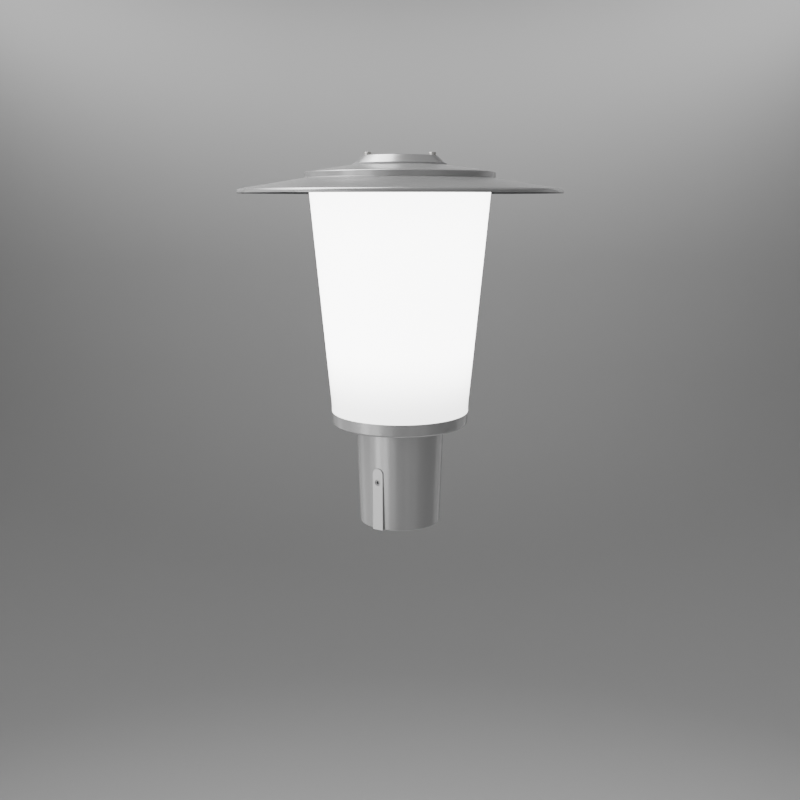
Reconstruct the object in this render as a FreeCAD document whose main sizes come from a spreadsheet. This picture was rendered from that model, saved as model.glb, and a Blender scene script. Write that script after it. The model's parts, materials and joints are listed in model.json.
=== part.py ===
import FreeCAD, Part
import math
import os
import re

import Sketcher

# LED street light head that slips over a 76 mm pole top.
# Millimetres, +Z up. The origin is the centre of the socket's mouth, and Z is the pole's axis.
# The head is seen from the -Y side, and the cap's two screws lie on the X axis.
# From the bottom up: cast socket, gallery ring, LED column in an opal cone, spun canopy, cap.

SIZES = {
    # Cast pole socket
    "socket_height": 99.6,
    "pole_radius": 38.0,
    "pole_clearance": 0.3,
    "pole_lead_in": 0.5,
    "mouth_wall": 1.55,
    "mouth_edge": 0.6,
    "socket_flare": 3.45,
    "socket_flange": 6.0,
    "socket_cable_radius": 22.0,
    # Two clamp pads on the socket, with their set screws
    "pad_azimuth": 30.3,
    "pad_width": 11.3,
    "pad_proud": 2.95,
    "pad_arch_height": 56.4,
    "clamp_height": 48.0,
    "clamp_screw_radius": 3.0,
    "clamp_screw_recess": 1.2,
    "clamp_hex": 3.0,
    "clamp_hex_depth": 1.8,
    # Gallery ring that carries the diffuser
    "ring_height": 12.4,
    "ring_setback": 0.1,
    "ring_taper": 0.7,
    "ring_edge": 2.0,
    "ring_floor": 3.5,
    "spigot_height": 6.0,
    "spigot_wall": 3.5,
    "spigot_clearance": 0.5,
    "lower_gasket_width": 1.6,
    "lower_gasket_depth": 1.4,
    "turret_radius": 19.5,
    "turret_wall": 3.0,
    "turret_height": 20.4,
    "plate_boss_radius": 4.2,
    "plate_boss_height": 4.0,
    "plate_boss_pitch": 46.0,
    # Cable gland that hangs from the turret
    "gland_thread_radius": 10.0,
    "gland_hole_clearance": 0.15,
    "gland_hex": 24.0,
    "gland_hex_height": 5.0,
    "gland_thread_end": 1.5,
    "gland_neck_radius": 8.6,
    "gland_neck_length": 9.0,
    "gland_bore_radius": 6.0,
    "gland_nut_grip": 7.0,
    "gland_nut_length": 12.0,
    "gland_nut_gap": 0.5,
    "gland_nut_nose": 8.0,
    "gland_nut_opening": 5.0,
    "gland_seal_wall": 1.8,
    "gland_washer_height": 1.2,
    "locknut_height": 4.0,
    # Foot plate on the gallery's bosses
    "foot_plate_gap": 4.0,
    "foot_plate_thickness": 3.0,
    "foot_plate_opening": 20.7,
    # LED column, an extruded hexagon with two screw ports
    "column_across": 58.0,
    "column_wall": 3.0,
    "port_radius": 4.0,
    "board_width": 26.0,
    "board_length": 204.0,
    "board_thickness": 1.6,
    "board_start": 10.0,
    "led_size": 3.5,
    "led_height": 0.8,
    "led_spacing": 17.0,
    # Driver and its bracket in the column
    "driver_width": 30.0,
    "driver_depth": 22.0,
    "driver_length": 100.0,
    "driver_start": 40.0,
    "driver_edge": 2.0,
    "bracket_width": 24.0,
    "bracket_sheet": 1.5,
    "bracket_lug": 12.0,
    "bracket_end": 12.0,
    "bracket_screw_inset": 5.0,
    # Wiring parts on the foot plate
    "block_gap": 7.5,
    "terminal_width": 30.0,
    "terminal_depth": 13.0,
    "terminal_height": 18.0,
    "terminal_spacing": 9.0,
    "terminal_entry_radius": 2.4,
    "terminal_entry_depth": 9.0,
    "surge_width": 32.0,
    "surge_depth": 14.0,
    "surge_height": 24.0,
    "surge_edge": 1.5,
    # Opal diffuser
    "diffuser_collar_radius": 67.0,
    "diffuser_collar_height": 7.0,
    "diffuser_gap": 1.3,
    "diffuser_height": 221.0,
    "diffuser_wall": 3.0,
    # Gasket, top plate and hub under the canopy
    "upper_gasket_height": 2.0,
    "upper_gasket_overhang": 0.6,
    "top_plate_gap": 1.2,
    "top_plate_thickness": 3.0,
    "hub_radius": 40.0,
    "hub_hole_radius": 12.0,
    "hub_screw_pitch": 19.0,
    "crown_gap": 0.97,
    # Spun canopy
    "canopy_sheet": 2.0,
    "canopy_radius": 152.5,
    "canopy_lip": 3.9,
    "canopy_edge": 1.8,
    "brim_rise": 10.1,
    "step_radius": 89.7,
    "step_height": 5.4,
    "step_edge": 1.2,
    "crown_rise": 6.7,
    "crown_seat_radius": 44.4,
    "canopy_hole_radius": 8.0,
    # Cap
    "cap_gasket_height": 1.1,
    "cap_gasket_radius": 44.2,
    "cap_base_radius": 42.0,
    "cap_base_edge": 0.6,
    "cap_top_radius": 34.2,
    "cap_top_edge": 0.5,
    "cap_height": 7.3,
    "cap_recess_radius": 26.0,
    "cap_recess_depth": 4.5,
    "cap_screw_inset": 0.4,
    # Fasteners
    "thread_clearance": 0.05,
    "screw_hole_clearance": 0.25,
    "m3_radius": 1.5,
    "m4_radius": 2.0,
    "m4_head_radius": 3.5,
    "m4_head_height": 3.2,
    "m4_hex": 3.0,
    "m5_radius": 2.5,
    "m5_head_radius": 4.25,
    "m5_head_height": 3.0,
    "m5_hex": 4.0,
    "hex_depth": 1.8,
    "sunk_head": 1.6,
    "cap_screw_length": 16.0,
    "socket_screw_length": 9.0,
    "socket_screw_pitch": 32.0,
    "plate_screw_length": 8.0,
    "column_screw_length": 14.0,
    "hub_screw_length": 8.5,
    "earth_screw_length": 5.0,
    "earth_screw_reach": 46.0,
}

# Levels, radii and lengths that follow from the driving sizes.
DERIVED = {
    "bore_radius": "pole_radius + pole_clearance",
    "bore_depth": "socket_height - socket_flange",
    "mouth_radius": "bore_radius + mouth_wall",
    "socket_top_radius": "mouth_radius + socket_flare",
    "pad_face": "mouth_radius + pad_proud",
    "clamp_screw_end": "pad_face - clamp_screw_recess",
    "clamp_screw_length": "clamp_screw_end - bore_radius",
    "ring_top_radius": "diffuser_collar_radius - ring_setback",
    "ring_low_radius": "ring_top_radius - ring_taper",
    "diffuser_inside": "diffuser_collar_radius - diffuser_wall",
    "spigot_radius": "diffuser_inside - spigot_clearance",
    "well_radius": "spigot_radius - spigot_wall",
    "groove_low": "diffuser_collar_radius - diffuser_wall / 2 - lower_gasket_width / 2",
    "groove_high": "groove_low + lower_gasket_width",
    "floor_top": "socket_height + ring_floor",
    "diffuser_seat": "socket_height + ring_height",
    "turret_top": "socket_height + turret_height",
    "gland_level": "turret_top - turret_wall - gland_washer_height - gland_hex_height",
    "gland_thread_length": "gland_hex_height + gland_washer_height + turret_wall"
                           " + locknut_height + gland_thread_end",
    "foot_plate_radius": "well_radius - foot_plate_gap",
    "foot_plate_level": "floor_top + plate_boss_height",
    "foot_plate_top": "foot_plate_level + foot_plate_thickness",
    "column_flat": "column_across / 2",
    "column_inside": "column_flat - column_wall",
    "port_pitch": "column_inside / cos(30) - port_radius",
    "block_reach": "column_flat + block_gap",
    "bracket_face": "column_inside - bracket_sheet",
    "bracket_length": "driver_length + 2 * bracket_end",
    "driver_level": "foot_plate_top + driver_start",
    "bracket_level": "driver_level - bracket_end",
    "bracket_screw_length": "column_wall + bracket_sheet",
    "diffuser_top_radius": "step_radius - canopy_sheet - diffuser_gap",
    "diffuser_top": "diffuser_seat + diffuser_height",
    "top_plate_radius": "step_radius - canopy_sheet - top_plate_gap",
    "top_plate_level": "diffuser_top + upper_gasket_height",
    "top_plate_top": "top_plate_level + top_plate_thickness",
    "column_length": "top_plate_level - foot_plate_top",
    "brim_slope": "brim_rise / (canopy_radius - step_radius)",
    "crown_slope": "crown_rise / (step_radius - crown_seat_radius)",
    "hub_height": "crown_slope * (top_plate_radius - crown_seat_radius) + crown_gap",
    "canopy_height": "canopy_lip + brim_rise + step_height + crown_rise",
    "canopy_top": "top_plate_top + hub_height + canopy_sheet",
    "cap_level": "canopy_top + cap_gasket_height",
    "cap_screw_pitch": "cap_top_radius - m4_head_radius - cap_screw_inset",
}

FLATS = 6
LEDS_PER_BOARD = 12
PLATE_BOSSES = 4
SOCKET_SCREWS = 4
HUB_SCREWS = 3
PORTS = 2
CAP_SCREWS = 2
TERMINAL_POLES = 3
FIRST_ANGLE = 45.0

doc = FreeCAD.newDocument("street_light_head")
sheet = doc.addObject("Spreadsheet::Sheet", "Sizes")


def fill_sheet():
    for row, (alias, value) in enumerate(SIZES.items(), start=1):
        sheet.set(f"A{row}", alias)
        sheet.set(f"B{row}", str(value))
        sheet.setAlias(f"B{row}", alias)
    doc.recompute()


def formula(text):
    """Turn size names into references to the sheet, and derived names into their formulas."""
    def swap(match):
        word = match.group()
        if word in DERIVED:
            return f"({formula(DERIVED[word])})"
        return f"Sizes.{word}" if word in SIZES else word
    return re.sub(r"[a-z]\w*", swap, text)


def bind(thing, **properties):
    """Bind properties to formulas."""
    for name, text in properties.items():
        thing.setExpression(name, formula(text))


def place(thing, x="0", y="0", z="0", turn=0.0, axis=(0, 0, 1)):
    """Turn an object about an axis through its own origin and bind its position to formulas."""
    thing.Placement = FreeCAD.Placement(FreeCAD.Vector(), FreeCAD.Rotation(FreeCAD.Vector(*axis), turn))
    for letter, text in (("x", x), ("y", y), ("z", z)):
        thing.setExpression(f"Placement.Base.{letter}", formula(text))


def on_circle(pitch, angle):
    """Formulas for the two coordinates of a point on a pitch circle."""
    return f"{pitch} * cos({angle})", f"{pitch} * sin({angle})"


def new_body(label, z="0"):
    body = doc.addObject("PartDesign::Body", label)
    place(body, z=z)
    return body


def origin_feature(body, role):
    return next(item for item in body.Origin.OriginFeatures if item.Role == role)


def new_sketch(body, name, plane="XZ_Plane", level="0"):
    """Sketch on one of the body's own planes, moved along its normal to a level."""
    sketch = body.newObject("Sketcher::SketchObject", name)
    sketch.AttachmentSupport = [(origin_feature(body, plane), "")]
    sketch.MapMode = "FlatFace"
    sketch.setExpression("AttachmentOffset.Base.z", formula(level))
    return sketch


def pin_point(sketch, geometry, position, x, y):
    """Hold one point of the sketch's geometry at a place given by two formulas."""
    for kind, text in (("DistanceX", x), ("DistanceY", y)):
        index = sketch.addConstraint(Sketcher.Constraint(kind, -1, 1, geometry, position, 1.0))
        sketch.setExpression(f"Constraints[{index}]", formula(text))


def outline(sketch, corners):
    """Closed outline of straight lines, each corner given by two formulas."""
    count = len(corners)
    turns = [2 * math.pi * i / count for i in range(count)]
    start = [FreeCAD.Vector(math.cos(turn), math.sin(turn), 0) for turn in turns]
    for i in range(count):
        sketch.addGeometry(Part.LineSegment(start[i], start[(i + 1) % count]))
    for i in range(count):
        sketch.addConstraint(Sketcher.Constraint("Coincident", i, 2, (i + 1) % count, 1))
    for i, (x, y) in enumerate(corners):
        pin_point(sketch, i, 1, x, y)


def circle(sketch, radius, x, y):
    index = sketch.addGeometry(Part.Circle(FreeCAD.Vector(1, 1, 0), FreeCAD.Vector(0, 0, 1), 1.0))
    pin_point(sketch, index, 3, x, y)
    size = sketch.addConstraint(Sketcher.Constraint("Radius", index, 1.0))
    sketch.setExpression(f"Constraints[{size}]", formula(radius))


def revolve(body, name, corners, kind="Revolution"):
    """Turn an outline of radius and height about the body's Z axis, to add or to cut."""
    sketch = new_sketch(body, f"{name}_outline")
    outline(sketch, corners)
    feature = body.newObject(f"PartDesign::{kind}", name)
    feature.Profile = sketch
    feature.ReferenceAxis = (sketch, ["V_Axis"])
    feature.Angle = 360.0
    doc.recompute()
    return sketch


def round_corner(body, sketch, corner, size):
    """Fillet the round edge that one corner of a revolved outline has made."""
    point = sketch.Geometry[corner].StartPoint
    base = body.Tip
    names = []
    for index, edge in enumerate(base.Shape.Edges, start=1):
        curve = edge.Curve
        if isinstance(curve, Part.Circle) and abs(curve.Radius - point.x) < 1e-4:
            if abs(curve.Center.z - point.y) < 1e-4:
                names.append(f"Edge{index}")
    fillet = body.newObject("PartDesign::Fillet", f"{sketch.Name}_round_{corner}")
    fillet.Base = (base, names)
    bind(fillet, Radius=size)
    body.Tip = fillet
    doc.recompute()


def repeat(body, feature, count):
    """Repeat a feature evenly about the body's Z axis."""
    pattern = body.newObject("PartDesign::PolarPattern", f"{feature.Name}_pattern")
    pattern.Originals = [feature]
    pattern.Axis = (origin_feature(body, "Z_Axis"), [""])
    pattern.Angle = 360.0
    pattern.Occurrences = count
    body.Tip = pattern
    doc.recompute()


def add_bosses(body, name, radius, pitch, level, height, angle, count):
    """Round bosses that stand up from a level, evenly spaced on a pitch circle."""
    sketch = new_sketch(body, f"{name}_outline", "XY_Plane", level)
    circle(sketch, radius, *on_circle(pitch, angle))
    pad = body.newObject("PartDesign::Pad", name)
    pad.Profile = sketch
    bind(pad, Length=height)
    doc.recompute()
    repeat(body, pad, count)


def drill(body, name, radius, level, depth, pitch, angle, count):
    """Round holes drilled down from a level, evenly spaced on a pitch circle."""
    before = body.Shape.Volume
    sketch = new_sketch(body, f"{name}_outline", "XY_Plane", level)
    circle(sketch, radius, *on_circle(pitch, angle))
    hole = body.newObject("PartDesign::Pocket", name)
    hole.Profile = sketch
    bind(hole, Length=depth)
    doc.recompute()
    if count > 1:
        repeat(body, hole, count)
    if body.Shape.Volume >= before:
        raise RuntimeError(f"{name} cut nothing from {body.Label}")


def cylinder(name, radius, height, z="0"):
    solid = doc.addObject("Part::Cylinder", name)
    bind(solid, Radius=radius, Height=height)
    place(solid, z=z)
    return solid


def cone(name, low_radius, high_radius, height, z="0"):
    solid = doc.addObject("Part::Cone", name)
    bind(solid, Radius1=low_radius, Radius2=high_radius, Height=height)
    place(solid, z=z)
    return solid


def hexagon(name, across, height, z="0"):
    """Six-sided prism, sized across its flats, with two of its flats facing +Y and -Y."""
    solid = doc.addObject("Part::Prism", name)
    solid.Polygon = FLATS
    bind(solid, Circumradius=f"{across} / 2 / cos(30)", Height=height)
    place(solid, z=z)
    return solid


def box(name, width, depth, height, x="0", y="0", z="0"):
    solid = doc.addObject("Part::Box", name)
    bind(solid, Length=width, Width=depth, Height=height)
    place(solid, x, y, z)
    return solid


def fuse(name, parts):
    result = doc.addObject("Part::MultiFuse", name)
    result.Shapes = parts
    return result


def cut(name, base, tools):
    """Cut one object by another, or by several fused into one tool."""
    result = doc.addObject("Part::Cut", name)
    result.Base = base
    result.Tool = tools if not isinstance(tools, list) else fuse(f"{name}_tools", tools)
    return result


def group(label, parts):
    """Several separate solids that are one node."""
    result = doc.addObject("Part::Compound", label)
    result.Links = parts
    return result


def head_screw(name, shank, length, head, height, across):
    """Round-headed screw with a hexagon socket, its head's seat at z = 0."""
    body = fuse(f"{name}_body", [
        cylinder(f"{name}_shank", f"{shank} - thread_clearance", length, z=f"-({length})"),
        cylinder(f"{name}_head", head, height),
    ])
    return cut(name, body, hexagon(f"{name}_key", across, "hex_depth", z=f"{height} - hex_depth"))


def sunk_screw(name, shank, length):
    """Flat-headed screw, the top of its head at z = 0."""
    slim = f"{shank} - thread_clearance"
    body = fuse(f"{name}_body", [
        cylinder(f"{name}_shank", slim, length, z=f"-({length})"),
        cone(f"{name}_head", slim, f"{slim} + sunk_head", "sunk_head", z="-sunk_head"),
    ])
    return cut(name, body, hexagon(f"{name}_key", slim, "sunk_head / 2", z="-sunk_head / 2"))


def sunk_seat(name, shank, length):
    """Tool that drills and countersinks the seat of a flat-headed screw."""
    return fuse(name, [
        cylinder(f"{name}_drill", shank, length, z=f"-({length})"),
        cone(f"{name}_cone", shank, f"{shank} + sunk_head", "sunk_head", z="-sunk_head"),
    ])


def on_ring(label, make, count, pitch, level, first_angle=0.0, flip=False):
    """Copies of one thing on a pitch circle, upright, or upside down when flipped."""
    copies = []
    for i in range(count):
        thing = make(f"{label}_{i + 1}")
        x, y = on_circle(pitch, first_angle + 360.0 * i / count)
        place(thing, x, y, level, turn=180.0 if flip else 0.0, axis=(1, 0, 0))
        copies.append(thing)
    return copies


def turn_to_pads(thing):
    """Turn the socket or its set screws about Z, so that one pad faces left of -Y."""
    turn = FreeCAD.Rotation(FreeCAD.Vector(0, 0, 1), -float(sheet.get("pad_azimuth")))
    thing.Placement = FreeCAD.Placement(thing.Placement.Base, turn)


def arched_outline(sketch, width, arch_height):
    """Upright strip with a half-round top, standing on the sketch's origin."""
    half, tall = 5.0, 50.0
    low_left, low_right = FreeCAD.Vector(-half, 0, 0), FreeCAD.Vector(half, 0, 0)
    high_left, high_right = FreeCAD.Vector(-half, tall, 0), FreeCAD.Vector(half, tall, 0)
    arch = Part.Circle(FreeCAD.Vector(0, tall, 0), FreeCAD.Vector(0, 0, 1), half)
    sketch.addGeometry(Part.LineSegment(low_left, low_right))
    sketch.addGeometry(Part.LineSegment(low_right, high_right))
    sketch.addGeometry(Part.ArcOfCircle(arch, 0.0, math.pi))
    sketch.addGeometry(Part.LineSegment(high_left, low_left))
    for first, second in ((0, 1), (1, 2), (2, 3), (3, 0)):
        sketch.addConstraint(Sketcher.Constraint("Coincident", first, 2, second, 1))
    pin_point(sketch, 0, 1, f"-{width} / 2", "0")
    pin_point(sketch, 0, 2, f"{width} / 2", "0")
    pin_point(sketch, 1, 2, f"{width} / 2", arch_height)
    pin_point(sketch, 3, 1, f"-{width} / 2", arch_height)
    level = sketch.addConstraint(Sketcher.Constraint("DistanceY", -1, 1, 2, 3, tall))
    sketch.setExpression(f"Constraints[{level}]", formula(arch_height))


def pole_socket():
    """Cast cone with two arched clamp pads, bored for the pole up to a flange that stops it."""
    body = new_body("pole_socket")
    revolve(body, "socket_cone", [
        ("0", "0"),
        ("mouth_radius - mouth_edge", "0"),
        ("mouth_radius", "mouth_edge"),
        ("socket_top_radius", "socket_height"),
        ("0", "socket_height"),
    ])
    sketch = new_sketch(body, "clamp_pads_outline")
    arched_outline(sketch, "pad_width", "pad_arch_height")
    pads = body.newObject("PartDesign::Pad", "clamp_pads")
    pads.Profile = sketch
    pads.SideType = "Symmetric"
    bind(pads, Length="2 * pad_face")
    doc.recompute()
    revolve(body, "pole_bore", [
        ("0", "0"),
        ("bore_radius + pole_lead_in", "0"),
        ("bore_radius", "pole_lead_in"),
        ("bore_radius", "bore_depth"),
        ("socket_cable_radius", "bore_depth"),
        ("socket_cable_radius", "socket_height"),
        ("0", "socket_height"),
    ], kind="Groove")
    before = body.Shape.Volume
    sketch = new_sketch(body, "clamp_holes_outline")
    circle(sketch, "clamp_screw_radius", "0", "clamp_height")
    holes = body.newObject("PartDesign::Pocket", "clamp_holes")
    holes.Profile = sketch
    holes.SideType = "Symmetric"
    bind(holes, Length="2 * pad_face + clamp_screw_radius")
    doc.recompute()
    if body.Shape.Volume >= before:
        raise RuntimeError("the clamp holes cut nothing")
    drill(body, "flange_holes", "m5_radius", "socket_height", "socket_flange",
          "socket_screw_pitch", f"{FIRST_ANGLE} + pad_azimuth", SOCKET_SCREWS)
    turn_to_pads(body)
    return body


def clamp_screws():
    """Two M6 set screws with hexagon sockets, just below the pads' faces."""
    screws = []
    for name, side, tilt in (("front", "-", 90.0), ("back", "", -90.0)):
        rod = cylinder(f"{name}_rod", "clamp_screw_radius - thread_clearance", "clamp_screw_length",
                       z="-clamp_screw_length")
        key = hexagon(f"{name}_key", "clamp_hex", "clamp_hex_depth", z="-clamp_hex_depth")
        screw = cut(f"{name}_clamp_screw", rod, key)
        place(screw, "0", f"{side}clamp_screw_end", "clamp_height", turn=tilt, axis=(1, 0, 0))
        screws.append(screw)
    result = group("clamp_screws", screws)
    turn_to_pads(result)
    return result


def base_ring():
    """Gallery: floor, rounded outer band, gasket groove, diffuser spigot and gland turret."""
    body = new_body("base_ring", "socket_height")
    sketch = revolve(body, "gallery", [
        ("ring_low_radius", "0"),
        ("ring_top_radius", "ring_height"),
        ("groove_high", "ring_height"),
        ("groove_high", "ring_height - lower_gasket_depth"),
        ("groove_low", "ring_height - lower_gasket_depth"),
        ("groove_low", "ring_height"),
        ("spigot_radius", "ring_height"),
        ("spigot_radius", "ring_height + spigot_height"),
        ("well_radius", "ring_height + spigot_height"),
        ("well_radius", "ring_floor"),
        ("turret_radius", "ring_floor"),
        ("turret_radius", "turret_height"),
        ("gland_thread_radius + gland_hole_clearance", "turret_height"),
        ("gland_thread_radius + gland_hole_clearance", "turret_height - turret_wall"),
        ("turret_radius - turret_wall", "turret_height - turret_wall"),
        ("turret_radius - turret_wall", "0"),
    ])
    round_corner(body, sketch, 0, "ring_edge")
    add_bosses(body, "plate_boss", "plate_boss_radius", "plate_boss_pitch", "ring_floor",
               "plate_boss_height", FIRST_ANGLE, PLATE_BOSSES)
    drill(body, "boss_holes", "m4_radius", "ring_floor + plate_boss_height",
          "plate_screw_length - foot_plate_thickness + screw_hole_clearance",
          "plate_boss_pitch", FIRST_ANGLE, PLATE_BOSSES)
    drill(body, "floor_holes", "m5_radius + screw_hole_clearance", "ring_floor", "ring_floor",
          "socket_screw_pitch", FIRST_ANGLE, SOCKET_SCREWS)
    return body


def flat_ring(label, low_radius, high_radius, height, level):
    """Ring of rectangular section, such as a gasket or a washer."""
    body = new_body(label, level)
    revolve(body, f"{label}_section", [
        (low_radius, "0"),
        (high_radius, "0"),
        (high_radius, height),
        (low_radius, height),
    ])
    return body


def gland_body():
    """Threaded gland body: the thread goes up through the turret, the neck points down."""
    outer = fuse("gland_outer", [
        hexagon("gland_flange", "gland_hex", "gland_hex_height"),
        cylinder("gland_thread", "gland_thread_radius", "gland_thread_length"),
        cylinder("gland_neck", "gland_neck_radius", "gland_neck_length", z="-gland_neck_length"),
    ])
    bore = cylinder("gland_bore", "gland_bore_radius", "gland_thread_length + gland_neck_length",
                    z="-gland_neck_length")
    body = cut("gland_body", outer, bore)
    place(body, z="gland_level")
    return body


def gland_nut():
    """Hexagonal nut with a tapered nose that closes on the gland's neck."""
    outer = fuse("gland_nut_outer", [
        hexagon("gland_nut_grip", "gland_hex", "gland_nut_grip", z="-gland_nut_grip"),
        cone("gland_nut_nose", "gland_nut_nose", "gland_hex / 2", "gland_nut_length - gland_nut_grip",
             z="-gland_nut_length"),
    ])
    neck_room = cylinder("gland_nut_room", "gland_neck_radius + thread_clearance",
                         "gland_neck_length - gland_nut_gap", z="gland_nut_gap - gland_neck_length")
    opening = cylinder("gland_nut_hole", "gland_nut_opening", "gland_nut_length", z="-gland_nut_length")
    nut = cut("gland_nut", outer, [neck_room, opening])
    place(nut, z="gland_level - gland_nut_gap")
    return nut


def gland_locknut():
    """Flat hexagonal nut on top of the turret."""
    nut = cut("gland_locknut", hexagon("locknut_blank", "gland_hex", "locknut_height"),
              cylinder("locknut_bore", "gland_thread_radius + thread_clearance", "locknut_height"))
    place(nut, z="turret_top")
    return nut


def socket_screws():
    """M5 screws that hold the gallery on the socket's flange."""
    def make(name):
        return head_screw(name, "m5_radius", "socket_screw_length", "m5_head_radius",
                          "m5_head_height", "m5_hex")
    return group("socket_screws", on_ring("socket_screw", make, SOCKET_SCREWS, "socket_screw_pitch",
                                          "floor_top", FIRST_ANGLE))


def foot_plate():
    """Disc that carries the column and the wiring parts."""
    body = new_body("foot_plate_blank", "foot_plate_level")
    revolve(body, "foot_disc", [
        ("foot_plate_opening", "0"),
        ("foot_plate_radius", "0"),
        ("foot_plate_radius", "foot_plate_thickness"),
        ("foot_plate_opening", "foot_plate_thickness"),
    ])
    drill(body, "plate_holes", "m4_radius + screw_hole_clearance", "foot_plate_thickness",
          "foot_plate_thickness", "plate_boss_pitch", FIRST_ANGLE, PLATE_BOSSES)
    drill(body, "earth_hole", "m4_radius", "foot_plate_thickness", "foot_plate_thickness",
          "earth_screw_reach", 0.0, 1)

    def seat(name):
        return sunk_seat(name, "m4_radius + screw_hole_clearance", "foot_plate_thickness")
    return cut("foot_plate", body, on_ring("foot_seat", seat, PORTS, "port_pitch",
                                           "foot_plate_level", flip=True))


def plate_screws():
    """M4 screws that hold the foot plate on its bosses."""
    def make(name):
        return head_screw(name, "m4_radius", "plate_screw_length", "m4_head_radius",
                          "m4_head_height", "m4_hex")
    return group("plate_screws", on_ring("plate_screw", make, PLATE_BOSSES, "plate_boss_pitch",
                                         "foot_plate_top", FIRST_ANGLE))


def earth_screw():
    """M4 screw for the earth lead, beside the column."""
    screw = head_screw("earth_screw", "m4_radius", "earth_screw_length", "m4_head_radius",
                       "m4_head_height", "m4_hex")
    place(screw, "earth_screw_reach", "0", "foot_plate_top")
    return screw


def led_column():
    """Hexagonal tube that holds the head together, with a screw port in two of its corners."""
    def port(name):
        return cylinder(name, "port_radius", "column_length")

    def port_hole(name):
        return cylinder(name, "m4_radius", "column_length")

    shell = cut("column_shell", hexagon("column_outer", "column_across", "column_length"),
                hexagon("column_hollow", "2 * column_inside", "column_length"))
    solid = fuse("column_with_ports", [shell] + on_ring("port", port, PORTS, "port_pitch", "0"))
    column = cut("led_column", solid,
                 on_ring("port_hole", port_hole, PORTS, "port_pitch", "0")
                 + on_bracket("bracket_seat", bracket_seat, "-foot_plate_top"))
    place(column, z="foot_plate_top")
    return column


def bracket_seat(name):
    return sunk_seat(name, "m3_radius", "bracket_screw_length")


def on_bracket(label, make, drop="0"):
    """Copies of one thing at the bracket's two screws, their heads level with the +Y flat."""
    copies = []
    for name, level in (("low", "bracket_level + bracket_screw_inset"),
                        ("high", "bracket_level + bracket_length - bracket_screw_inset")):
        thing = make(f"{label}_{name}")
        place(thing, "0", "column_flat", f"{level} + {drop}", turn=-90.0, axis=(1, 0, 0))
        copies.append(thing)
    return copies


def column_screws(label, level, flip):
    """Flat-headed M4 screws into the ports at one end of the column."""
    def make(name):
        return sunk_screw(name, "m4_radius", "column_screw_length")
    return group(label, on_ring(f"{label}_screw", make, PORTS, "port_pitch", level, flip=flip))


def led_boards():
    """One long board on each flat of the column."""
    boards = []
    for i in range(FLATS):
        angle = 30.0 + 360.0 * i / FLATS
        board = box(f"board_{i + 1}", "board_thickness", "board_width", "board_length")
        place(board, f"column_flat * cos({angle}) + board_width / 2 * sin({angle})",
              f"column_flat * sin({angle}) - board_width / 2 * cos({angle})",
              "foot_plate_top + board_start", turn=angle)
        boards.append(board)
    return group("led_boards", boards)


def leds():
    """Square LED packages in one row up each board."""
    size = float(sheet.get("led_size"))
    height = float(sheet.get("led_height"))
    spacing = float(sheet.get("led_spacing"))
    face = float(sheet.get("column_across")) / 2 + float(sheet.get("board_thickness"))
    margin = (float(sheet.get("board_length")) - (LEDS_PER_BOARD - 1) * spacing - size) / 2
    chips = []
    for i in range(FLATS):
        for row in range(LEDS_PER_BOARD):
            corner = FreeCAD.Vector(face, -size / 2, margin + row * spacing)
            chip = Part.makeBox(height, size, size, corner)
            chip.rotate(FreeCAD.Vector(), FreeCAD.Vector(0, 0, 1), 30.0 + 360.0 * i / FLATS)
            chips.append(chip)
    feature = doc.addObject("Part::Feature", "leds")
    feature.Shape = Part.makeCompound(chips)
    place(feature, z="foot_plate_top + board_start")
    return feature


def rounded_block(label, width, depth, height, edge, y, z):
    """Block with rounded upright edges, its near face at y and its foot at z."""
    body = new_body(label)
    sketch = new_sketch(body, f"{label}_outline", "XY_Plane")
    outline(sketch, [
        (f"-{width} / 2", "0"),
        (f"{width} / 2", "0"),
        (f"{width} / 2", depth),
        (f"-{width} / 2", depth),
    ])
    pad = body.newObject("PartDesign::Pad", f"{label}_block")
    pad.Profile = sketch
    bind(pad, Length=height)
    doc.recompute()
    upright = []
    for index, line in enumerate(pad.Shape.Edges, start=1):
        ends = [vertex.Point for vertex in line.Vertexes]
        if abs(ends[0].z - ends[1].z) > 1.0:
            upright.append(f"Edge{index}")
    fillet = body.newObject("PartDesign::Fillet", f"{label}_edges")
    fillet.Base = (pad, upright)
    bind(fillet, Radius=edge)
    body.Tip = fillet
    place(body, "0", y, z)
    doc.recompute()
    return body


def driver_bracket():
    """Bent sheet on the column's +Y inner face, with a lug over each end of the driver."""
    back = box("bracket_back", "bracket_width", "bracket_sheet", "bracket_length",
               "-bracket_width / 2", "bracket_face", "bracket_level")
    lugs = [
        box(f"bracket_lug_{name}", "bracket_width", "bracket_lug", "bracket_sheet",
            "-bracket_width / 2", "bracket_face - bracket_lug", level)
        for name, level in (("low", "driver_level - bracket_sheet"),
                            ("high", "driver_level + driver_length"))
    ]
    return cut("driver_bracket", fuse("bracket_sheet_metal", [back] + lugs),
               on_bracket("bracket_tap", bracket_seat))


def bracket_screws():
    """Flat-headed M3 screws that hold the bracket, flush under the LED board."""
    def make(name):
        return sunk_screw(name, "m3_radius", "bracket_screw_length")
    return group("bracket_screws", on_bracket("bracket_screw", make))


def terminal_block():
    """Moulded block with a wire entry and a screw well for each pole."""
    blank = box("terminal_blank", "terminal_width", "terminal_depth", "terminal_height",
                "-terminal_width / 2")
    tools = []
    for i in range(TERMINAL_POLES):
        x = f"{i - (TERMINAL_POLES - 1) / 2} * terminal_spacing"
        entry = cylinder(f"terminal_entry_{i + 1}", "terminal_entry_radius", "terminal_entry_depth")
        place(entry, x, "terminal_depth", "terminal_height / 3", turn=90.0, axis=(1, 0, 0))
        well = cylinder(f"terminal_well_{i + 1}", "terminal_entry_radius", "terminal_height / 3")
        place(well, x, "terminal_depth / 2", "terminal_height * 2 / 3")
        tools += [entry, well]
    block = cut("terminal_block", blank, tools)
    place(block, "0", "block_reach", "foot_plate_top")
    return block


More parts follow.
